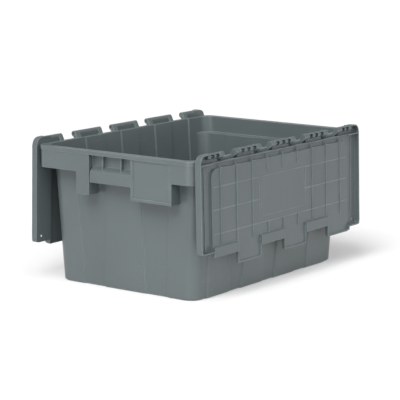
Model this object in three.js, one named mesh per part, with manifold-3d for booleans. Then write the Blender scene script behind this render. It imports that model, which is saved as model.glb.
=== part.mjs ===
// Attached lid tote: a nestable, tapered plastic tub with two hinged lids that close over it and whose
// finger edges interlock, and a steel pin in each hinge group.
// Millimetres. +Z up, X across the width, Y along the hinges, origin at the middle of the base.
// At rest both lids hang open, outside the long walls.
import * as THREE from "three";
import { mergeVertices } from "three/addons/utils/BufferGeometryUtils.js";
import Module from "manifold-3d";

const wasm = await Module();
wasm.setup();

// Overall sizes
const RIM_HEIGHT = 266;
const RIM_WIDTH = 374;
const RIM_LENGTH = 546;
const NEST_PITCH = 84.5;
const RIM_CORNER_RADIUS = 20;
const LIP_HEIGHT = 7.5;
const LIP_OVERHANG = 1.2;
const SKIN = 2.8;

// Tub wall: how far its outer face lies inside the rim
const SIDE_INSET_TOP = 6;
const SIDE_INSET_BASE = 22;
const END_INSET_TOP = 13;
const END_INSET_LEDGE = 28.5;
const END_INSET_BASE = 36;
const LEDGE_DROP = 36;
const LEDGE_SLOPE = 1;
const WALL_CORNER_RADIUS = 25;
const BASE_CHAMFER = 3;
const FLOOR = 3.2;
const FLUTE_DEPTH = 2.6;
const FLUTE_SIDE = 2.4;
const END_FLUTES = { centres: [-75, 75], halfTop: 37, halfBase: 26.5 };
const SIDE_FLUTES = { centres: [-109.5, 0, 109.5], halfTop: 28, halfBase: 21 };
const SIDE_FIELD_HALF = 197;

// End apron, from its left end to its right end as seen facing it
const BAND_HEIGHT = 42;
const CORNER_BLOCK_HEIGHT = 44;
const LEG = { from: -88, to: -57 };
const HANDLE = { from: -57, to: 43 };
const PANEL = { from: 43, to: 137 };
const WEB = 2.6;
const WEB_FOOT_RADIUS = 10;
const POCKET_BOTTOM = 26;
const GRIP_TOP = 43;
const GRIP_BOTTOM = 60;
const GRIP_BULGE = 1;
const HANDLE_RIBS = [-29, 15];
const HANDLE_RIB_WIDTH = 3.2;
const HANDLE_RIB_SETBACK = 4.5;
const HANDLE_GAP = 3;
const PANEL_FRAME = 5;
const PANEL_RELIEF = 1.6;
const SIDE_SKIRT_HEIGHT = 20;

// Hinges
const HINGE_X = 193.5;
const HINGE_Z = RIM_HEIGHT + 7;
const KNUCKLE_RADIUS = 5.5;
const GROUP_SPACING = 115;
const FULL_GROUPS = [-GROUP_SPACING, 0, GROUP_SPACING];
const GROUP_HALF = 40;
const BARREL_HALF = 27.5;
const EAR_INNER = 28.1;
const END_EAR = { from: 193, to: 204 };
const END_BARREL = { from: 204.6, to: 242 };
const PIN_RADIUS = 2.4;
const BORE_RADIUS = 2.7;
const PIN_END_GAP = 1;
const SLOT_WIDTH = 12;
const SLOT_REACH = [-3.4, 5];
const SLOT_SPACING = 19;
const END_SLOTS = [213, 228];
const CORNER_PLATE_FROM = 230;

// Lids, in their own frame: x away from the hinge axis, y along it, z up when the lid is closed
const LID_HALF_LENGTH = 268.5;
const LID_TOP = KNUCKLE_RADIUS;
const LID_SKIN = 2.5;
const LID_SKIRT_BOTTOM = RIM_HEIGHT + 0.4 - HINGE_Z;
const LID_SKIRT = 2.4;
const HINGE_CUTOUT = 12;
const HINGE_LIP_BOTTOM = -1.5;
const LID_CORNER_RADIUS = 18;
const FINGER_COUNT = 6;
const FINGER_WIDTH = 76.5;
const FINGER_HALF_DEPTH = 16;
const FINGER_GAP = 0.8;
const FINGER_RADIUS = 4;
const TAB_REACH = HINGE_X + FINGER_HALF_DEPTH - FINGER_GAP;
const NOTCH_REACH = HINGE_X - FINGER_HALF_DEPTH - FINGER_GAP;
const LONG_BORDER_REACH = TAB_REACH - 9;
const TAB_LIP_BOTTOM = -3.4;
const SHELF = { step: 165, foot: 168.5, reach: 186, top: -3.9, bottom: -6.1 };
const SHELF_END_GAP = 1.5;
const RECESS = { start: 27, halfLength: 226, depth: 4, radius: 18 };
const RIB_SPACING = 50.6;
const RIB_COUNT = 9;
const RIB_WIDTH = 1.8;
const RIB_HEIGHT = 1.9;
const LABEL = { from: 57, to: 133, halfLength: 73, height: 0.7 };
const LABEL_RAIL = { halfLength: 78, from: 53, to: 140 };
const LABEL_MARGIN = { before: 8, after: 12 };
const CROSS_RIBS = [58, 100, 145];
const CROSS_RIB = { width: 1.4, height: 0.6 };
const BORDER_RIB = { y: 248, from: 20, to: 172, width: 1.4, height: 1.4 };
const SEAL_HOLE = { x: 188, y: -254, radius: 2.6 };
const REST_SPLAY = THREE.MathUtils.degToRad(1.5);

const ARC_STEPS = 6;
const SMALL_ARC_STEPS = 3;
const ROD_SIDES = 16;
const HALF_WIDTH = RIM_WIDTH / 2;
const HALF_LENGTH = RIM_LENGTH / 2;

// ---------------------------------------------------------------- solids

function solidOf(geometry) {
  const bare = new THREE.BufferGeometry();
  bare.setAttribute("position", geometry.getAttribute("position"));
  bare.setIndex(geometry.index);
  const merged = mergeVertices(bare, 1e-4);
  const mesh = new wasm.Mesh({
    numProp: 3,
    vertProperties: merged.getAttribute("position").array,
    triVerts: new Uint32Array(merged.index.array),
  });
  return new wasm.Manifold(mesh);
}

function geometryOf(solid) {
  const mesh = solid.getMesh();
  const geometry = new THREE.BufferGeometry();
  geometry.setAttribute("position", new THREE.BufferAttribute(mesh.vertProperties, 3));
  geometry.setIndex(new THREE.BufferAttribute(mesh.triVerts, 1));
  geometry.computeVertexNormals();
  return geometry;
}

function union(solids) {
  return solids.reduce((sum, solid) => sum.add(solid));
}

function box(x, y, z) {
  const geometry = new THREE.BoxGeometry(x[1] - x[0], y[1] - y[0], z[1] - z[0]);
  geometry.translate((x[0] + x[1]) / 2, (y[0] + y[1]) / 2, (z[0] + z[1]) / 2);
  return solidOf(geometry);
}

// An outline extruded along an axis. The outline's own axes are the two named in the plane.
const PLANES = {
  xy: [new THREE.Vector3(1, 0, 0), new THREE.Vector3(0, 1, 0), new THREE.Vector3(0, 0, 1)],
  xz: [new THREE.Vector3(1, 0, 0), new THREE.Vector3(0, 0, 1), new THREE.Vector3(0, -1, 0)],
  yz: [new THREE.Vector3(0, 1, 0), new THREE.Vector3(0, 0, 1), new THREE.Vector3(1, 0, 0)],
};

function prism(shape, plane, from, to, curveSegments = ARC_STEPS) {
  const [right, up, along] = PLANES[plane];
  const geometry = new THREE.ExtrudeGeometry(shape, {
    depth: to - from,
    bevelEnabled: false,
    curveSegments,
  });
  const start = plane === "xz" ? -to : from;
  const place = new THREE.Matrix4().makeBasis(right, up, along);
  place.setPosition(along.clone().multiplyScalar(start));
  return solidOf(geometry.applyMatrix4(place));
}

function polygon(points) {
  return new THREE.Shape(points.map(([a, b]) => new THREE.Vector2(a, b)));
}

// A closed outline whose corners [a, b, radius] are rounded.
function roundedPolygon(corners) {
  const shape = new THREE.Shape();
  corners.forEach(([a, b, radius], i) => {
    const corner = new THREE.Vector2(a, b);
    const [beforeA, beforeB] = corners[(i + corners.length - 1) % corners.length];
    const [afterA, afterB] = corners[(i + 1) % corners.length];
    const inward = new THREE.Vector2(beforeA, beforeB).sub(corner).setLength(radius).add(corner);
    const outward = new THREE.Vector2(afterA, afterB).sub(corner).setLength(radius).add(corner);
    if (i === 0) shape.moveTo(inward.x, inward.y);
    else shape.lineTo(inward.x, inward.y);
    if (radius > 0) shape.quadraticCurveTo(corner.x, corner.y, outward.x, outward.y);
  });
  shape.closePath();
  return shape;
}

function arcPoints(x, y, radius, fromDegrees, steps = ARC_STEPS) {
  return Array.from({ length: steps + 1 }, (_, i) => {
    const angle = THREE.MathUtils.degToRad(fromDegrees + (90 * i) / steps);
    return [x + radius * Math.cos(angle), y + radius * Math.sin(angle)];
  });
}

function roundedRectangle(halfX, halfY, radius) {
  return polygon([
    ...arcPoints(halfX - radius, halfY - radius, radius, 0),
    ...arcPoints(-halfX + radius, halfY - radius, radius, 90),
    ...arcPoints(-halfX + radius, -halfY + radius, radius, 180),
    ...arcPoints(halfX - radius, -halfY + radius, radius, 270),
  ]);
}

function rod(radius, x, z, from, to) {
  const shape = new THREE.Shape();
  shape.absarc(x, z, radius, 0, 2 * Math.PI);
  const points = shape.getSpacedPoints(ROD_SIDES).slice(0, ROD_SIDES);
  return prism(new THREE.Shape(points), "xz", from, to);
}

// A solid through a stack of level outlines that all have the same number of points.
function loft(levels) {
  const count = levels[0].outline.length;
  const vertices = levels.flatMap(({ outline, z }) => outline.flatMap(([x, y]) => [x, y, z]));
  const faces = [];
  for (let level = 0; level < levels.length - 1; level += 1) {
    for (let i = 0; i < count; i += 1) {
      const a = level * count + i;
      const b = level * count + ((i + 1) % count);
      faces.push(a, b, b + count, a, b + count, a + count);
    }
  }
  const top = (levels.length - 1) * count;
  const flat = (outline) => outline.map(([x, y]) => new THREE.Vector2(x, y));
  for (const [a, b, c] of THREE.ShapeUtils.triangulateShape(flat(levels[0].outline), [])) {
    faces.push(a, c, b);
  }
  for (const [a, b, c] of THREE.ShapeUtils.triangulateShape(flat(levels.at(-1).outline), [])) {
    faces.push(top + a, top + b, top + c);
  }
  const geometry = new THREE.BufferGeometry();
  geometry.setAttribute("position", new THREE.Float32BufferAttribute(vertices, 3));
  geometry.setIndex(faces);
  return solidOf(geometry);
}

// ---------------------------------------------------------------- tub wall

// One wall's profile as [distance along, depth below the wall's face], from its start to its end.
function fluted(flutes, half, depth) {
  return flutes.centres.flatMap((centre) => [
    [centre - half, 0],
    [centre - half + FLUTE_SIDE, depth],
    [centre + half - FLUTE_SIDE, depth],
    [centre + half, 0],
  ]);
}

// The tub's level outline. `skin` moves it inwards by the wall's thickness for the inner face.
function wallOutline({ halfX, halfY, share, sideDepth, endDepth, skin }) {
  const miter = skin * Math.tan(Math.PI / 8);
  const sideHalf = THREE.MathUtils.lerp(SIDE_FLUTES.halfBase, SIDE_FLUTES.halfTop, share) + miter;
  const endHalf = THREE.MathUtils.lerp(END_FLUTES.halfBase, END_FLUTES.halfTop, share) + miter;
  const field = SIDE_FIELD_HALF - miter;
  const radius = WALL_CORNER_RADIUS - skin;
  const faceX = halfX - skin;
  const faceY = halfY - skin;
  const cornerX = faceX - sideDepth - radius;
  const cornerY = faceY - radius;
  const side = [
    [-field - FLUTE_SIDE, sideDepth],
    [-field, 0],
    ...fluted(SIDE_FLUTES, sideHalf, sideDepth),
    [field, 0],
    [field + FLUTE_SIDE, sideDepth],
  ];
  const end = fluted(END_FLUTES, endHalf, endDepth);
  return [
    ...side.map(([along, depth]) => [faceX - depth, along]),
    ...arcPoints(cornerX, cornerY, radius, 0),
    ...end.map(([along, depth]) => [-along, faceY - depth]),
    ...arcPoints(-cornerX, cornerY, radius, 90),
    ...side.map(([along, depth]) => [-faceX + depth, -along]),
    ...arcPoints(-cornerX, -cornerY, radius, 180),
    ...end.map(([along, depth]) => [along, -faceY + depth]),
    ...arcPoints(cornerX, -cornerY, radius, 270),
  ];
}

function sideInset(z) {
  return THREE.MathUtils.lerp(SIDE_INSET_BASE, SIDE_INSET_TOP, z / RIM_HEIGHT);
}

const LEDGE_Z = RIM_HEIGHT - LEDGE_DROP;

function wallLevel(z, skin, extraInset = 0, inRimZone = z > LEDGE_Z) {
  const lowerInset = THREE.MathUtils.lerp(END_INSET_BASE, END_INSET_LEDGE, z / LEDGE_Z);
  const endInset = inRimZone ? END_INSET_TOP : lowerInset;
  const outline = wallOutline({
    halfX: HALF_WIDTH - sideInset(z) - extraInset,
    halfY: HALF_LENGTH - endInset - extraInset,
    share: z / RIM_HEIGHT,
    sideDepth: FLUTE_DEPTH,
    endDepth: inRimZone ? 0 : FLUTE_DEPTH,
    skin,
  });
  return { outline, z };
}

function tubWall() {
  return loft([
    wallLevel(0, 0, BASE_CHAMFER),
    wallLevel(BASE_CHAMFER, 0),
    wallLevel(LEDGE_Z, 0),
    wallLevel(LEDGE_Z + LEDGE_SLOPE, 0),
    wallLevel(RIM_HEIGHT, 0),
  ]);
}

function tubCavity() {
  return loft([
    wallLevel(FLOOR, SKIN, BASE_CHAMFER),
    wallLevel(FLOOR + BASE_CHAMFER, SKIN),
    wallLevel(LEDGE_Z + SKIN, SKIN, 0, false),
    wallLevel(LEDGE_Z + SKIN + LEDGE_SLOPE, SKIN),
    wallLevel(RIM_HEIGHT + 1, SKIN),
  ]);
}

// ---------------------------------------------------------------- rim and apron

// A strip that follows the rim's outline, hanging from the rim by `height`.
function rimStrip(height) {
  const outer = [HALF_WIDTH - LIP_OVERHANG, HALF_LENGTH - LIP_OVERHANG];
  const shape = roundedRectangle(...outer, RIM_CORNER_RADIUS);
  shape.holes.push(roundedRectangle(outer[0] - SKIN, outer[1] - SKIN, RIM_CORNER_RADIUS - SKIN));
  return prism(shape, "xy", RIM_HEIGHT - height, RIM_HEIGHT);
}

function rimLip() {
  const outline = roundedRectangle(HALF_WIDTH, HALF_LENGTH, RIM_CORNER_RADIUS + LIP_OVERHANG);
  const lip = prism(outline, "xy", RIM_HEIGHT - LIP_HEIGHT, RIM_HEIGHT);
  const under = roundedRectangle(
    HALF_WIDTH - LIP_OVERHANG - SKIN,
    HALF_LENGTH - LIP_OVERHANG - SKIN,
    RIM_CORNER_RADIUS - SKIN,
  );
  return lip.subtract(prism(under, "xy", RIM_HEIGHT - LIP_HEIGHT - 1, RIM_HEIGHT - SKIN));
}

// Everything on the end at -Y. Its front face is the apron's plane.
const APRON_Y = -(HALF_LENGTH - LIP_OVERHANG);
const WALL_REACH_Y = -(HALF_LENGTH - END_INSET_LEDGE - 4);
const STOP_Z = RIM_HEIGHT - NEST_PITCH;
const UNDER_LIP = RIM_HEIGHT - SKIN;

// A web from the apron back to the wall, its lower inner corner rounded off.
function web(x) {
  const outline = roundedPolygon([
    [APRON_Y, STOP_Z, 0],
    [WALL_REACH_Y, STOP_Z, WEB_FOOT_RADIUS],
    [WALL_REACH_Y, UNDER_LIP, 0],
    [APRON_Y, UNDER_LIP, 0],
  ]);
  return prism(outline, "yz", x, x + WEB);
}

function leg() {
  return [
    box([LEG.from, LEG.to], [APRON_Y, APRON_Y + SKIN], [STOP_Z, UNDER_LIP]),
    web(LEG.from),
    web(LEG.to - WEB),
  ];
}

function cardPanel() {
  const back = box([PANEL.from, PANEL.to], [APRON_Y, APRON_Y + SKIN + 1], [STOP_Z, UNDER_LIP]);
  const field = roundedPolygon([
    [PANEL.from + PANEL_FRAME, STOP_Z + PANEL_FRAME, 1.5],
    [PANEL.to - PANEL_FRAME, STOP_Z + PANEL_FRAME, 1.5],
    [PANEL.to - PANEL_FRAME, RIM_HEIGHT - LIP_HEIGHT - 1.5, 1.5],
    [PANEL.from + PANEL_FRAME, RIM_HEIGHT - LIP_HEIGHT - 1.5, 1.5],
  ]);
  const relief = prism(field, "xz", APRON_Y - 1, APRON_Y + PANEL_RELIEF);
  return [back.subtract(relief), web(PANEL.from), web(PANEL.to - WEB)];
}

// The handle: open pockets under the lip, whose floor sweeps out into a grip that is hollow behind.
function handle() {
  const wallY = -(HALF_LENGTH - END_INSET_TOP) + 1;
  const frontY = APRON_Y - GRIP_BULGE;
  const backY = frontY + SKIN;
  const start = RIM_HEIGHT - POCKET_BOTTOM;
  const top = RIM_HEIGHT - GRIP_TOP;
  const middle = (start + top) / 2;
  const bottom = RIM_HEIGHT - GRIP_BOTTOM;
  const profile = new THREE.Shape();
  profile.moveTo(wallY, start);
  profile.bezierCurveTo(wallY, middle, frontY, middle + 3, frontY, top);
  profile.lineTo(frontY, bottom + 2);
  profile.quadraticCurveTo(frontY, bottom, frontY + 1.4, bottom);
  profile.lineTo(backY + 1, bottom);
  profile.lineTo(backY, bottom + 3);
  profile.lineTo(backY, top);
  profile.bezierCurveTo(backY, middle + 1, wallY + SKIN, middle - 2, wallY + SKIN, start - SKIN);
  profile.closePath();
  const ribs = HANDLE_RIBS.map((x) =>
    box([x, x + HANDLE_RIB_WIDTH], [APRON_Y + HANDLE_RIB_SETBACK, wallY], [middle, UNDER_LIP]),
  );
  return [prism(profile, "yz", HANDLE.from + HANDLE_GAP, HANDLE.to + 0.5), ...ribs];
}

function endApron() {
  const beyond = 30;
  const cornerY = [-HALF_LENGTH - beyond, -HALF_LENGTH + RIM_CORNER_RADIUS];
  const heights = [0, RIM_HEIGHT + 1];
  const band = rimStrip(BAND_HEIGHT).intersect(
    box([-HALF_WIDTH - beyond, LEG.from + 1], cornerY, heights),
  );
  const block = rimStrip(CORNER_BLOCK_HEIGHT).intersect(
    box([PANEL.to - 1, HALF_WIDTH + beyond], cornerY, heights),
  );
  return union([band, block, ...leg(), ...handle(), ...cardPanel()]);
}

function sideSkirts() {
  const along = HALF_LENGTH - RIM_CORNER_RADIUS + 1;
  return rimStrip(SIDE_SKIRT_HEIGHT).intersect(
    box([-HALF_WIDTH - 1, HALF_WIDTH + 1], [-along, along], [0, RIM_HEIGHT + 1]),
  );
}

// ---------------------------------------------------------------- hinge ears on the tub

const EAR_FOOT = RIM_HEIGHT - 4.4;
const EAR_ROOT_X = HALF_WIDTH - SIDE_INSET_TOP;

function ear(from, to) {
  const shape = new THREE.Shape();
  shape.moveTo(EAR_ROOT_X, EAR_FOOT);
  shape.lineTo(HALF_WIDTH + 1.2, EAR_FOOT);
  shape.absarc(HINGE_X, HINGE_Z, KNUCKLE_RADIUS, -0.9, Math.PI * 0.92);
  shape.lineTo(HALF_WIDTH - 2.4, RIM_HEIGHT);
  shape.lineTo(EAR_ROOT_X, RIM_HEIGHT);
  shape.closePath();
  return prism(shape, "xz", from, to);
}

// Ears on the +X side, each pair with a bore that stays blind at one end.
function sideEars() {
  const ears = FULL_GROUPS.flatMap((centre) => [
    ear(centre - GROUP_HALF, centre - EAR_INNER),
    ear(centre + EAR_INNER, centre + GROUP_HALF),
  ]);
  const bores = FULL_GROUPS.map((centre) =>
    rod(BORE_RADIUS, HINGE_X, HINGE_Z, centre - GROUP_HALF + PIN_END_GAP, centre + GROUP_HALF + 1),
  );
  for (const side of [-1, 1]) {
    const [from, to] = [side * END_EAR.from, side * END_EAR.to].sort((a, b) => a - b);
    ears.push(ear(from, to));
    bores.push(
      rod(
        BORE_RADIUS,
        HINGE_X,
        HINGE_Z,
        side > 0 ? from + PIN_END_GAP : from - 1,
        side > 0 ? to + 1 : to - PIN_END_GAP,
      ),
    );
  }
  return union(ears).subtract(union(bores));
}

function turned(solid) {
  const geometry = geometryOf(solid).rotateZ(Math.PI);
  return solidOf(geometry);
}

function tub() {
  const end = endApron();
  const ears = sideEars();
  const shell = union([tubWall(), rimLip(), sideSkirts(), end, turned(end), ears, turned(ears)]);
  return shell.subtract(tubCavity());
}

// ---------------------------------------------------------------- lid

// The free edge: tabs and notches take turns along the hinge direction.
function freeEdge(inset) {
  const half = (FINGER_COUNT / 2) * FINGER_WIDTH;
  const end = LID_HALF_LENGTH - inset;
  const radius = Math.max(FINGER_RADIUS - inset, 1);
  const corners = [
    [LONG_BORDER_REACH - inset, -end, 6],
    [LONG_BORDER_REACH - inset, -half - 1.5, 1],
  ];
  for (let i = 0; i < FINGER_COUNT; i += 1) {
    const isTab = i % 2 === 0;
    const reach = (isTab ? TAB_REACH : NOTCH_REACH) - inset;
    const shrink = (isTab ? -1 : 1) * (FINGER_GAP + inset);
    const from = -half + i * FINGER_WIDTH - (i === 0 ? 0 : shrink);
    const to = -half + (i + 1) * FINGER_WIDTH + (i === FINGER_COUNT - 1 ? 0 : shrink);
    corners.push([reach, from, radius], [reach, to, radius]);
  }
  corners.push([NOTCH_REACH - inset, end, 6]);
  return corners;
}

function lidOutline(inset) {
  const end = LID_HALF_LENGTH - inset;
  const hinge = HINGE_CUTOUT + inset;
  return roundedPolygon([[hinge, end, 0], [hinge, -end, 0], ...freeEdge(inset)]);
}

function recessOutline(grow) {
  const half = RECESS.halfLength + grow;
  const start = RECESS.start - grow;
  const beyond = TAB_REACH + 5;
  return roundedPolygon([
    [beyond, half, 0],
    [start, half, RECESS.radius],
    [start, -half, RECESS.radius],
    [beyond, -half, 0],
  ]);
}

const RECESS_TOP = LID_TOP - RECESS.depth;
const RECESS_UNDER = RECESS_TOP - LID_SKIN;
const BORDER_UNDER = LID_TOP - LID_SKIN;

// The plate: a border at the lid's top level round a sunken field that runs out at the free edge.
function lidPlate() {
  const whole = prism(lidOutline(0), "xy", RECESS_UNDER, LID_TOP, SMALL_ARC_STEPS);
  const above = prism(recessOutline(0), "xy", RECESS_TOP, LID_TOP + 1);
  const hollow = prism(recessOutline(LID_SKIN), "xy", RECESS_UNDER - 1, LID_TOP + 1);
  const borderUnder = prism(lidOutline(LID_SKIRT), "xy", RECESS_UNDER - 1, BORDER_UNDER, SMALL_ARC_STEPS);
  return whole.subtract(above).subtract(borderUnder.subtract(hollow));
}

// A wall that stands under the plate along its outline, down to `bottom`, inside the given limits.
function skirt(bottom, limits) {
  const outside = prism(lidOutline(0), "xy", bottom, BORDER_UNDER, SMALL_ARC_STEPS);
  const inside = lidOutline(LID_SKIRT);
  const hollow = prism(inside, "xy", bottom - 1, BORDER_UNDER + 1, SMALL_ARC_STEPS);
  return outside.subtract(hollow).intersect(limits);
}

function lidSkirts() {
  const borderFrom = (FINGER_COUNT / 2) * FINGER_WIDTH;
  const beyond = LID_HALF_LENGTH + 1;
  const span = [HINGE_CUTOUT - 1, TAB_REACH + 1];
  const tall = [LID_SKIRT_BOTTOM - 1, LID_TOP];
  const ends = [
    box(span, [-beyond, -borderFrom], tall),
    box(span, [borderFrom, beyond], tall),
  ].map((limits) => skirt(LID_SKIRT_BOTTOM, limits));
  const hingeSide = box([HINGE_CUTOUT - 1, HINGE_CUTOUT + LID_SKIRT], [-beyond, beyond], tall);
  const free = box([NOTCH_REACH - 30, TAB_REACH + 1], [-borderFrom, borderFrom], tall);
  return [...ends, skirt(HINGE_LIP_BOTTOM, hingeSide), skirt(TAB_LIP_BOTTOM, free)];
}

// Below each notch a shelf runs on past the plate's edge: the other lid's tab lies on it.
function shelves() {
  const plate = RECESS_UNDER + 0.4;
  const outline = polygon([
    [SHELF.step, plate],
    [SHELF.foot, SHELF.bottom],
    [SHELF.reach, SHELF.bottom],
    [SHELF.reach, SHELF.top],
    [NOTCH_REACH, SHELF.top],
    [NOTCH_REACH, plate],
  ]);
  const start = (-FINGER_COUNT / 2) * FINGER_WIDTH;
  const notches = Array.from({ length: FINGER_COUNT / 2 }, (_, i) => start + (2 * i + 1) * FINGER_WIDTH);
  return notches.map((from) => {
    const isLast = from + FINGER_WIDTH > -start - 1;
    const to = from + FINGER_WIDTH + (isLast ? -SHELF_END_GAP : SHELF_END_GAP);
    return prism(outline, "xz", from - SHELF_END_GAP, to);
  });
}

// A rib under the plate between two distances from the hinge; it jogs down where the field sinks.
function rib(y, from, to) {
  const down = RECESS_UNDER - RIB_HEIGHT;
  const high = BORDER_UNDER - RIB_HEIGHT;
  const buried = 0.4;
  const jog = RECESS.start - LID_SKIN;
  const points =
    from < jog
      ? [
          [from, BORDER_UNDER + buried],
          [from, high],
          [jog - 6, high],
          [jog - 1, down],
          [to, down],
          [to, RECESS_UNDER + buried],
          [jog + 1, RECESS_UNDER + buried],
          [jog + 1, BORDER_UNDER + buried],
        ]
      : [
          [from, RECESS_UNDER + buried],
          [from, down],
          [to, down],
          [to, RECESS_UNDER + buried],
        ];
  return prism(polygon(points), "xz", y - RIB_WIDTH / 2, y + RIB_WIDTH / 2);
}

function lidRibs() {
  const start = HINGE_CUTOUT + 1;
  const ribs = [];
  for (let i = 0; i < RIB_COUNT; i += 1) {
    const y = (i - (RIB_COUNT - 1) / 2) * RIB_SPACING;
    if (Math.abs(y) < LABEL.halfLength) {
      ribs.push(rib(y, start, LABEL.from - LABEL_MARGIN.before));
      ribs.push(rib(y, LABEL.to + LABEL_MARGIN.after, SHELF.foot));
    } else {
      ribs.push(rib(y, start, SHELF.foot));
    }
  }
  return ribs;
}

function labelField() {
  const levels = [RECESS_UNDER - LABEL.height, RECESS_UNDER + 0.4];
  const rails = [-1, 1].map((side) => {
    const y = side * LABEL_RAIL.halfLength;
    return box([LABEL_RAIL.from, LABEL_RAIL.to], [y - 0.8, y + 0.8], levels);
  });
  return [box([LABEL.from, LABEL.to], [-LABEL.halfLength, LABEL.halfLength], levels), ...rails];
}

function crossRibs() {
  const levels = [RECESS_UNDER - CROSS_RIB.height, RECESS_UNDER + 0.4];
  const half = RECESS.halfLength - 1;
  return CROSS_RIBS.map((x) =>
    box([x - CROSS_RIB.width / 2, x + CROSS_RIB.width / 2], [-half, half], levels),
  );
}

// A rib under each end border, parallel to the lid's end.
function borderRibs() {
  return [-BORDER_RIB.y, BORDER_RIB.y].map((y) =>
    box(
      [BORDER_RIB.from, BORDER_RIB.to],
      [y - BORDER_RIB.width / 2, y + BORDER_RIB.width / 2],
      [BORDER_UNDER - BORDER_RIB.height, BORDER_UNDER + 0.4],
    ),
  );
}

// A barrel, joined to the plate by a tongue at the plate's level.
function barrel(from, to) {
  return [
    rod(KNUCKLE_RADIUS, 0, 0, from, to),
    box([0, HINGE_CUTOUT + 1], [from, to], [BORDER_UNDER, LID_TOP]),
  ];
}

function barrels() {
  return FULL_GROUPS.flatMap((centre) => barrel(centre - BARREL_HALF, centre + BARREL_HALF));
}

// The hinge-side corners: the plate and its skirt run on past the axis, with a short barrel inside.
function hingeCorners() {
  const levels = [LID_SKIRT_BOTTOM, LID_TOP];
  const outline = (side, inset) =>
    roundedPolygon(
      [
        [HINGE_CUTOUT + 12, CORNER_PLATE_FROM, 0],
        [-KNUCKLE_RADIUS + inset, CORNER_PLATE_FROM, 0],
        [-KNUCKLE_RADIUS + inset, LID_HALF_LENGTH - inset, LID_CORNER_RADIUS - inset],
        [HINGE_CUTOUT + 12, LID_HALF_LENGTH - inset, 0],
      ].map(([x, y, radius]) => [x, side * y, radius]),
    );
  return [-1, 1].flatMap((side) => {
    const [near, far] = [side * END_BARREL.from, side * END_BARREL.to].sort((a, b) => a - b);
    const [skirtNear, skirtFar] = [side * END_BARREL.to, side * (LID_HALF_LENGTH + 1)].sort(
      (a, b) => a - b,
    );
    const plate = prism(outline(side, 0), "xy", BORDER_UNDER, LID_TOP);
    const wall = prism(outline(side, 0), "xy", ...levels)
      .subtract(prism(outline(side, LID_SKIRT), "xy", levels[0] - 1, BORDER_UNDER))
      .intersect(box([-KNUCKLE_RADIUS - 1, HINGE_CUTOUT + 3], [skirtNear, skirtFar], levels));
    return [plate, wall, ...barrel(near, far)];
  });
}

function hingeBores() {
  const bores = FULL_GROUPS.map((centre) =>
    rod(BORE_RADIUS, 0, 0, centre - BARREL_HALF - 1, centre + BARREL_HALF + 1),
  );
  const slots = FULL_GROUPS.flatMap((centre) =>
    [-SLOT_SPACING, 0, SLOT_SPACING].map((offset) => slot(centre + offset)),
  );
  for (const side of [-1, 1]) {
    const [from, to] = [side * (END_BARREL.from - 1), side * (END_BARREL.to - 2)].sort((a, b) => a - b);
    bores.push(rod(BORE_RADIUS, 0, 0, from, to));
    slots.push(...END_SLOTS.map((y) => slot(side * y)));
  }
  return union([...bores, ...slots]);
}

// A cored slot that lays the pin bare on the barrel's underside.
function slot(y) {
  return box(SLOT_REACH, [y - SLOT_WIDTH / 2, y + SLOT_WIDTH / 2], [-KNUCKLE_RADIUS - 1, 0.6]);
}

function lid() {
  const body = union([
    lidPlate(),
    ...lidSkirts(),
    ...shelves(),
    ...lidRibs(),
    ...borderRibs(),
    ...labelField(),
    ...crossRibs(),
    ...barrels(),
    ...hingeCorners(),
  ]);
  const hole = new THREE.CylinderGeometry(SEAL_HOLE.radius, SEAL_HOLE.radius, 30, 16);
  hole.rotateX(Math.PI / 2);
  hole.translate(SEAL_HOLE.x, SEAL_HOLE.y, 0);
  return body.subtract(hingeBores()).subtract(solidOf(hole));
}

// ---------------------------------------------------------------- assembly

const plastic = { color: 0x747d7f, roughness: 0.62, metalness: 0 };
const tubMaterial = new THREE.MeshStandardMaterial(plastic);
const lidMaterial = new THREE.MeshStandardMaterial(plastic);
const steelMaterial = new THREE.MeshStandardMaterial({
  color: 0x9a9c9c,
  roughness: 0.4,
  metalness: 0.9,
});

function meshOf(name, solid, material) {
  const mesh = new THREE.Mesh(geometryOf(solid), material);
  mesh.name = name;
  return mesh;
}

// Pins of the side at -X, numbered from the end at -Y.
function pinSpans() {
  const full = FULL_GROUPS.map((centre) => [
    centre - GROUP_HALF + PIN_END_GAP + 0.3,
    centre + GROUP_HALF - PIN_END_GAP,
  ]);
  const end = [END_EAR.from + PIN_END_GAP + 0.3, END_BARREL.to - 2.4];
  return [[-end[1], -end[0]], ...full, end];
}

function hingeSide(side) {
  const group = new THREE.Group();
  const cover = meshOf(`lid_${side}`, lid(), lidMaterial);
  cover.position.set(-HINGE_X, 0, HINGE_Z);
  cover.rotation.y = Math.PI / 2 + REST_SPLAY;
  group.add(cover);
  pinSpans().forEach(([from, to], i) => {
    const pin = meshOf(`hinge_pin_${side}_${i + 1}`, rod(PIN_RADIUS, 0, 0, from, to), steelMaterial);
    pin.position.set(-HINGE_X, 0, HINGE_Z);
    group.add(pin);
  });
  return group;
}

const tote = new THREE.Group();
tote.add(meshOf("tub", tub(), tubMaterial));
const left = hingeSide("left");
const right = hingeSide("right");
right.rotation.z = Math.PI;
tote.add(left, right);

export default tote;
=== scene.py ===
# Looks for the attached lid tote: moulded plastic tub and lids with rounded edges, and dull steel pins.
# Everything is in metres in the CAD frame: +Z up, Y along the hinges, the shown end at -Y.
import math

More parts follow.
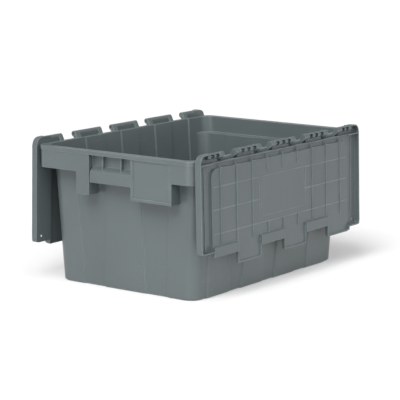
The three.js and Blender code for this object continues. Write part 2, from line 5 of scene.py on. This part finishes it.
import bmesh
import bpy
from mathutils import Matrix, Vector


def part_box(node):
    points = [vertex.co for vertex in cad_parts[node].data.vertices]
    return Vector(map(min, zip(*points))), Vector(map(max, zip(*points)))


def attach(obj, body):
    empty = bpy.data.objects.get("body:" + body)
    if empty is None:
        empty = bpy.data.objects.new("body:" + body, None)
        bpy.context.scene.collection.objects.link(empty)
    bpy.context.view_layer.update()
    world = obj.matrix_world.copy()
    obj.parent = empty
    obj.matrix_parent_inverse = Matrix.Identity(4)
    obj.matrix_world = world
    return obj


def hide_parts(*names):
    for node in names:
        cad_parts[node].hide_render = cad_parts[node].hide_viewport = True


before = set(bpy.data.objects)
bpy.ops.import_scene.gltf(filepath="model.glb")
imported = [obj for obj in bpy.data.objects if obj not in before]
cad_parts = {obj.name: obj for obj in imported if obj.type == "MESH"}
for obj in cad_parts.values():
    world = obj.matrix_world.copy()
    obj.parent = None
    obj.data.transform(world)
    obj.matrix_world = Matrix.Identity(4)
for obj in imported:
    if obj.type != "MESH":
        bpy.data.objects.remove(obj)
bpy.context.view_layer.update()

MM = 0.001
WHITE = (1, 1, 1, 1)
SIDES = ("left", "right")

# Moulded edges: a sharp, long edge is rounded where both of its faces have room for it.
EDGE_RADIUS = 0.6 * MM
EDGE_SEGMENTS = 2
ROUNDED_EDGE_LENGTH = 5 * EDGE_RADIUS
ROUNDED_EDGE_ANGLE = math.radians(40)
CLOSE_NEIGHBOUR = 2.2 * EDGE_RADIUS
ROOM_FOR_ROUND = 2.5 * EDGE_RADIUS
ROOM_STATIONS = (0.1, 0.5, 0.9)
SMOOTH_ANGLE = math.radians(24)
FLAT_ANGLE = math.radians(0.6)
WELD = 0.01 * MM

# Hinge pins
PIN_SIDES = 32
PIN_END_BREAK = 0.5 * MM
PIN_SMOOTH_ANGLE = math.radians(35)

# Colours, and how much paler or darker than its plastic each trace of use is; the paler edges are part
# wear, part painted highlight
TUB_GREY = (0.070, 0.086, 0.088)
LID_GREY = (0.067, 0.082, 0.084)
STEEL = (0.16, 0.16, 0.155)
DARK_DRIFT = 0.93
PALE_DRIFT = 1.06
STREAK_SHADE = 1.16
SCUFF_SHADE = 1.8
# Edges painted paler: part rubbing wear, part a painted highlight for the gloss on rounded edges
EDGE_WEAR_AND_HIGHLIGHT_SHADE = 3.3
DULL_STEEL_SHADE = 0.78

# Surfaces
# The paler edges, part wear and part painted highlight: how far they reach onto the faces, and how
# strong
EDGE_WEAR_AND_HIGHLIGHT_REACH = 1.1 * MM
EDGE_WEAR_AND_HIGHLIGHT_STRENGTH = 0.7
SCUFF_STRENGTH = 0.35
PLASTIC_ROUGHNESS = (0.28, 0.4)
SCUFF_ROUGHNESS = 0.12
PLASTIC_IOR = 1.5
WAVE_HEIGHT = 0.5 * MM
GRAIN_HEIGHT = 0.05 * MM
STEEL_ROUGHNESS = (0.26, 0.42)
DRAWN_LINE_HEIGHT = 0.02 * MM

# Studio
FLOOR_REACH = 60.0
FLOOR_COLOUR = (0.5, 0.5, 0.5, 1)
FLOOR_ROUGHNESS = 0.9
FLOOR_GLOW = 0.26
# The sky fades from the horizon's brightness to the dome's between two heights (sines of elevation).
SKY_FADE = {"From Min": 0.06, "From Max": 0.2, "To Min": 1.0, "To Max": 0.28}

# Camera: its place, with its height above the rim, and its aim as a share of the rim's height
SENSOR_WIDTH = 36
LENS = 160
EYE = (2.064, -2.778)
EYE_ABOVE_RIM = 0.486
AIM_SHARE = 0.5


# ---------------------------------------------------------------- materials

class Nodes:
    """A material's node tree, with short calls to add nodes and join them."""

    def __init__(self, name):
        self.material = bpy.data.materials.new(name)
        self.material.use_nodes = True
        self.tree = self.material.node_tree
        self.shader = self.tree.nodes["Principled BSDF"]
        self.place = self.add("ShaderNodeTexCoord").outputs["Object"]

    def add(self, kind, **settings):
        node = self.tree.nodes.new(kind)
        for key, value in settings.items():
            setattr(node, key, value)
        return node

    def join(self, output, socket):
        self.tree.links.new(output, socket)

    def noise(self, scale, detail=2.0, roughness=0.5, stretch=(1, 1, 1)):
        mapping = self.add("ShaderNodeMapping")
        mapping.inputs["Scale"].default_value = stretch
        self.join(self.place, mapping.inputs["Vector"])
        noise = self.add("ShaderNodeTexNoise")
        noise.inputs["Scale"].default_value = scale
        noise.inputs["Detail"].default_value = detail
        noise.inputs["Roughness"].default_value = roughness
        self.join(mapping.outputs["Vector"], noise.inputs["Vector"])
        return noise.outputs["Fac"]

    def spread(self, value, low, high, to_low=0.0, to_high=1.0):
        """`value` mapped from the range low..high to the range to_low..to_high, and held inside it."""
        node = self.add("ShaderNodeMapRange")
        limits = {"From Min": low, "From Max": high, "To Min": to_low, "To Max": to_high}
        for key, number in limits.items():
            node.inputs[key].default_value = number
        self.join(value, node.inputs["Value"])
        return node.outputs["Result"]

    def maths(self, operation, first, second):
        node = self.add("ShaderNodeMath", operation=operation)
        for socket, value in zip(node.inputs, (first, second)):
            if isinstance(value, (int, float)):
                socket.default_value = value
            else:
                self.join(value, socket)
        return node.outputs[0]

    def mix(self, factor, first, second):
        node = self.add("ShaderNodeMix", data_type="RGBA")
        self.join(factor, node.inputs["Factor"])
        for socket, colour in ((node.inputs[6], first), (node.inputs[7], second)):
            if isinstance(colour, tuple):
                socket.default_value = (*colour, 1)
            else:
                self.join(colour, socket)
        return node.outputs[2]

    def bump(self, height, distance, strength, below=None):
        node = self.add("ShaderNodeBump")
        node.inputs["Strength"].default_value = strength
        node.inputs["Distance"].default_value = distance
        self.join(height, node.inputs["Height"])
        if below is not None:
            self.join(below, node.inputs["Normal"])
        return node.outputs["Normal"]


def shade(colour, share):
    return tuple(channel * share for channel in colour)


def edge_mask(nodes):
    """1 along the object's edges, fading to 0 a little way onto its faces."""
    soft = nodes.add("ShaderNodeBevel", samples=6)
    soft.inputs["Radius"].default_value = EDGE_WEAR_AND_HIGHLIGHT_REACH
    own = nodes.add("ShaderNodeNewGeometry").outputs["Normal"]
    dot = nodes.add("ShaderNodeVectorMath", operation="DOT_PRODUCT")
    nodes.join(soft.outputs["Normal"], dot.inputs[0])
    nodes.join(own, dot.inputs[1])
    return nodes.spread(dot.outputs["Value"], low=0.998, high=0.93)


def moulded_plastic(name, colour):
    """Satin polyethylene: fine grain, slow colour drift, faint scuffs, and edges painted paler, part
    wear and part painted highlight.
    """
    nodes = Nodes(name)
    drift = nodes.spread(nodes.noise(5.0, detail=3.0), 0.3, 0.7)
    body = nodes.mix(drift, shade(colour, DARK_DRIFT), shade(colour, PALE_DRIFT))

    upright_noise = nodes.noise(9.0, detail=3.0, stretch=(1, 1, 0.22))
    streak = nodes.spread(upright_noise, 0.35, 0.75, to_high=0.35)
    body = nodes.mix(streak, body, shade(colour, STREAK_SHADE))

    scuff_field = nodes.spread(nodes.noise(16.0, detail=5.0, roughness=0.7), 0.52, 0.72)
    scuff_lines = nodes.spread(nodes.noise(70.0, stretch=(1, 0.06, 5.0)), 0.56, 0.66)
    scuffs = nodes.maths("MULTIPLY", scuff_field, scuff_lines)
    scuff_share = nodes.maths("MULTIPLY", scuffs, SCUFF_STRENGTH)
    body = nodes.mix(scuff_share, body, shade(colour, SCUFF_SHADE))

    # Edges painted paler, unevenly: part rubbing wear, part a painted highlight along the rounded edges
    uneven = nodes.spread(nodes.noise(38.0, detail=5.0), 0.36, 0.66, to_low=0.45)
    edge_wear_and_highlight = nodes.maths("MULTIPLY", edge_mask(nodes), uneven)
    body = nodes.mix(nodes.maths("MULTIPLY", edge_wear_and_highlight, EDGE_WEAR_AND_HIGHLIGHT_STRENGTH), body, shade(colour, EDGE_WEAR_AND_HIGHLIGHT_SHADE))
    nodes.join(body, nodes.shader.inputs["Base Color"])

    roughness = nodes.spread(nodes.noise(22.0, detail=4.0), 0.25, 0.75, *PLASTIC_ROUGHNESS)
    scuff_dullness = nodes.maths("MULTIPLY", scuffs, SCUFF_ROUGHNESS)
    nodes.join(nodes.maths("ADD", roughness, scuff_dullness), nodes.shader.inputs["Roughness"])

    waviness = nodes.bump(nodes.noise(14.0, detail=1.0), WAVE_HEIGHT, 0.35)
    grain = nodes.bump(nodes.noise(1100.0), GRAIN_HEIGHT, 0.5, below=waviness)
    nodes.join(grain, nodes.shader.inputs["Normal"])
    nodes.shader.inputs["IOR"].default_value = PLASTIC_IOR
    return nodes.material


def drawn_steel(name):
    """Zinc-plated wire: fine lines along its length, and duller patches."""
    nodes = Nodes(name)
    lines = nodes.noise(2600.0, stretch=(1, 0.02, 1))
    patches = nodes.spread(nodes.noise(160.0, detail=3.0), 0.35, 0.7)
    colour = nodes.mix(patches, STEEL, shade(STEEL, DULL_STEEL_SHADE))
    nodes.join(colour, nodes.shader.inputs["Base Color"])
    nodes.join(nodes.spread(lines, 0.3, 0.7, *STEEL_ROUGHNESS), nodes.shader.inputs["Roughness"])
    nodes.join(nodes.bump(lines, DRAWN_LINE_HEIGHT, 0.6), nodes.shader.inputs["Normal"])
    nodes.shader.inputs["Metallic"].default_value = 1.0
    return nodes.material


def studio_floor(name):
    nodes = Nodes(name)
    nodes.shader.inputs["Base Color"].default_value = FLOOR_COLOUR
    nodes.shader.inputs["Roughness"].default_value = FLOOR_ROUGHNESS
    nodes.shader.inputs["Emission Color"].default_value = WHITE
    nodes.shader.inputs["Emission Strength"].default_value = FLOOR_GLOW
    return nodes.material


# ---------------------------------------------------------------- pieces

def add_piece(name, bm, material, node, body):
    """Makes an object from a bmesh, which stands for a CAD node and rides on its body."""
    mesh = bpy.data.meshes.new(name)
    bm.to_mesh(mesh)
    bm.free()
    mesh.materials.append(material)
    piece = bpy.data.objects.new(name, mesh)
    bpy.context.scene.collection.objects.link(piece)
    normals = piece.modifiers.new("weighted_normals", "WEIGHTED_NORMAL")
    normals.keep_sharp = True
    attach(piece, body)
    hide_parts(node)


def smooth_by_angle(bm, angle):
    for face in bm.faces:
        face.smooth = True
    for edge in bm.edges:
        edge.smooth = edge.is_manifold and edge.calc_face_angle(0) < angle


def room_beside(loop):
    """How far a loop's face reaches from the loop's edge, at the narrowest of its stations."""
    start = loop.vert.co
    end = loop.link_loop_next.vert.co
    along = (end - start).normalized()
    inward = loop.face.normal.cross(along)
    narrowest = math.inf
    for share in ROOM_STATIONS:
        place = start.lerp(end, share)
        for other in loop.face.edges:
            first, second = (corner.co - place for corner in other.verts)
            before, after = first.dot(along), second.dot(along)
            if other is loop.edge or (before > 0) == (after > 0):
                continue
            reach = first.dot(inward) + (second - first).dot(inward) * before / (before - after)
            if reach > WELD:
                narrowest = min(narrowest, reach)
    return narrowest


def takes_a_round(edge):
    """True for a sharp edge that is long enough to be rounded and has room for it on both faces."""
    if not edge.is_manifold or edge.calc_face_angle(0) < ROUNDED_EDGE_ANGLE:
        return False
    if edge.calc_length() < ROUNDED_EDGE_LENGTH:
        return False
    others = (other for corner in edge.verts for other in corner.link_edges if other is not edge)
    if any(other.calc_length() < CLOSE_NEIGHBOUR for other in others):
        return False
    return all(room_beside(loop) >= ROOM_FOR_ROUND for loop in edge.link_loops)


def moulding(name, node, body, material):
    """The CAD node's shape, its flat faces whole and its sharp edges rounded as a mould leaves them."""
    bm = bmesh.new()
    bm.from_mesh(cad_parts[node].data)
    bmesh.ops.remove_doubles(bm, verts=bm.verts, dist=WELD)
    bmesh.ops.dissolve_limit(bm, angle_limit=FLAT_ANGLE, verts=bm.verts, edges=bm.edges)
    rounded = [edge for edge in bm.edges if takes_a_round(edge)]
    bmesh.ops.bevel(
        bm,
        geom=rounded,
        offset=EDGE_RADIUS,
        offset_type="OFFSET",
        segments=EDGE_SEGMENTS,
        profile=0.5,
        affect="EDGES",
        clamp_overlap=False,
    )
    smooth_by_angle(bm, SMOOTH_ANGLE)
    add_piece(name, bm, material, node, body)


def hinge_pin(name, node, material):
    """A round wire with slightly broken ends, as long and as thick as its CAD node."""
    low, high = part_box(node)
    centre = (low + high) / 2
    radius = (high.x - low.x) / 2
    stations = (
        (low.y, radius - PIN_END_BREAK),
        (low.y + PIN_END_BREAK, radius),
        (high.y - PIN_END_BREAK, radius),
        (high.y, radius - PIN_END_BREAK),
    )
    bm = bmesh.new()
    rings = []
    for y, reach in stations:
        ring = []
        for i in range(PIN_SIDES):
            angle = 2 * math.pi * i / PIN_SIDES
            x = centre.x + reach * math.cos(angle)
            z = centre.z + reach * math.sin(angle)
            ring.append(bm.verts.new((x, y, z)))
        rings.append(ring)
    for first, second in zip(rings, rings[1:]):
        for i in range(PIN_SIDES):
            j = (i + 1) % PIN_SIDES
            bm.faces.new((first[i], second[i], second[j], first[j]))
    bm.faces.new(rings[0])
    bm.faces.new(reversed(rings[-1]))
    bmesh.ops.recalc_face_normals(bm, faces=bm.faces)
    smooth_by_angle(bm, PIN_SMOOTH_ANGLE)
    add_piece(name, bm, material, node, "tub")


# ---------------------------------------------------------------- studio

def floor():
    bm = bmesh.new()
    corners = ((-1, -1), (1, -1), (1, 1), (-1, 1))
    bm.faces.new([bm.verts.new((x * FLOOR_REACH, y * FLOOR_REACH, 0)) for x, y in corners])
    mesh = bpy.data.meshes.new("studio_floor")
    bm.to_mesh(mesh)
    bm.free()
    mesh.materials.append(studio_floor("studio_floor"))
    plane = bpy.data.objects.new("studio_floor", mesh)
    bpy.context.scene.collection.objects.link(plane)


def softbox(name, place, target, size, watts):
    data = bpy.data.lights.new(name, "AREA")
    data.shape = "RECTANGLE"
    data.size, data.size_y = size
    data.energy = watts
    lamp = bpy.data.objects.new(name, data)
    lamp.location = place
    lamp.rotation_euler = (Vector(target) - Vector(place)).to_track_quat("-Z", "Y").to_euler()
    bpy.context.scene.collection.objects.link(lamp)


def soft_sun(name, towards, degrees_wide, strength):
    """A large distant softbox in the direction `towards`."""
    data = bpy.data.lights.new(name, "SUN")
    data.angle = math.radians(degrees_wide)
    data.energy = strength
    lamp = bpy.data.objects.new(name, data)
    lamp.rotation_euler = Vector(towards).to_track_quat("Z", "Y").to_euler()
    bpy.context.scene.collection.objects.link(lamp)


def sky():
    """A dim pale dome, bright along the horizon so that it runs on from the floor."""
    world = bpy.data.worlds.new("studio")
    world.use_nodes = True
    tree = world.node_tree
    background = tree.nodes["Background"]
    background.inputs["Color"].default_value = WHITE
    direction = tree.nodes.new("ShaderNodeTexCoord").outputs["Generated"]
    split = tree.nodes.new("ShaderNodeSeparateXYZ")
    brightness = tree.nodes.new("ShaderNodeMapRange")
    for key, number in SKY_FADE.items():
        brightness.inputs[key].default_value = number
    tree.links.new(direction, split.inputs["Vector"])
    tree.links.new(split.outputs["Z"], brightness.inputs["Value"])
    tree.links.new(brightness.outputs["Result"], background.inputs["Strength"])
    bpy.context.scene.world = world


def studio():
    soft_sun("key", towards=(0.3, -2.4, 2.8), degrees_wide=40, strength=3.6)
    soft_sun("fill", towards=(3.0, -1.0, 1.8), degrees_wide=75, strength=2.1)
    softbox("edge", place=(0.9, -3.6, 0.7), target=(0, 0, 0.15), size=(0.4, 1.0), watts=30)
    softbox("overhead", place=(0.15, -0.3, 1.7), target=(0, 0.2, 0.2), size=(0.5, 0.5), watts=8)
    sky()
    bpy.context.scene.view_settings.view_transform = "Standard"


def camera():
    data = bpy.data.cameras.new("camera")
    data.sensor_width = SENSOR_WIDTH
    data.lens = LENS
    eye = bpy.data.objects.new("camera", data)
    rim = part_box("tub")[1].z
    eye.location = (*EYE, rim + EYE_ABOVE_RIM)
    aim = Vector((0.0, 0.0, rim * AIM_SHARE))
    eye.rotation_euler = (aim - eye.location).to_track_quat("-Z", "Y").to_euler()
    bpy.context.scene.collection.objects.link(eye)
    bpy.context.scene.camera = eye


# ---------------------------------------------------------------- the tote

tub_plastic = moulded_plastic("tub_plastic_looks", TUB_GREY)
lid_plastic = moulded_plastic("lid_plastic_looks", LID_GREY)
steel = drawn_steel("hinge_steel_looks")

moulding("tub_moulding", "tub", "tub", tub_plastic)
for side in SIDES:
    moulding(f"lid_{side}_moulding", f"lid_{side}", f"lid_{side}", lid_plastic)
for node in sorted(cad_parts):
    if node.startswith("hinge_pin"):
        hinge_pin(f"{node}_wire", node, steel)

floor()
studio()
camera()
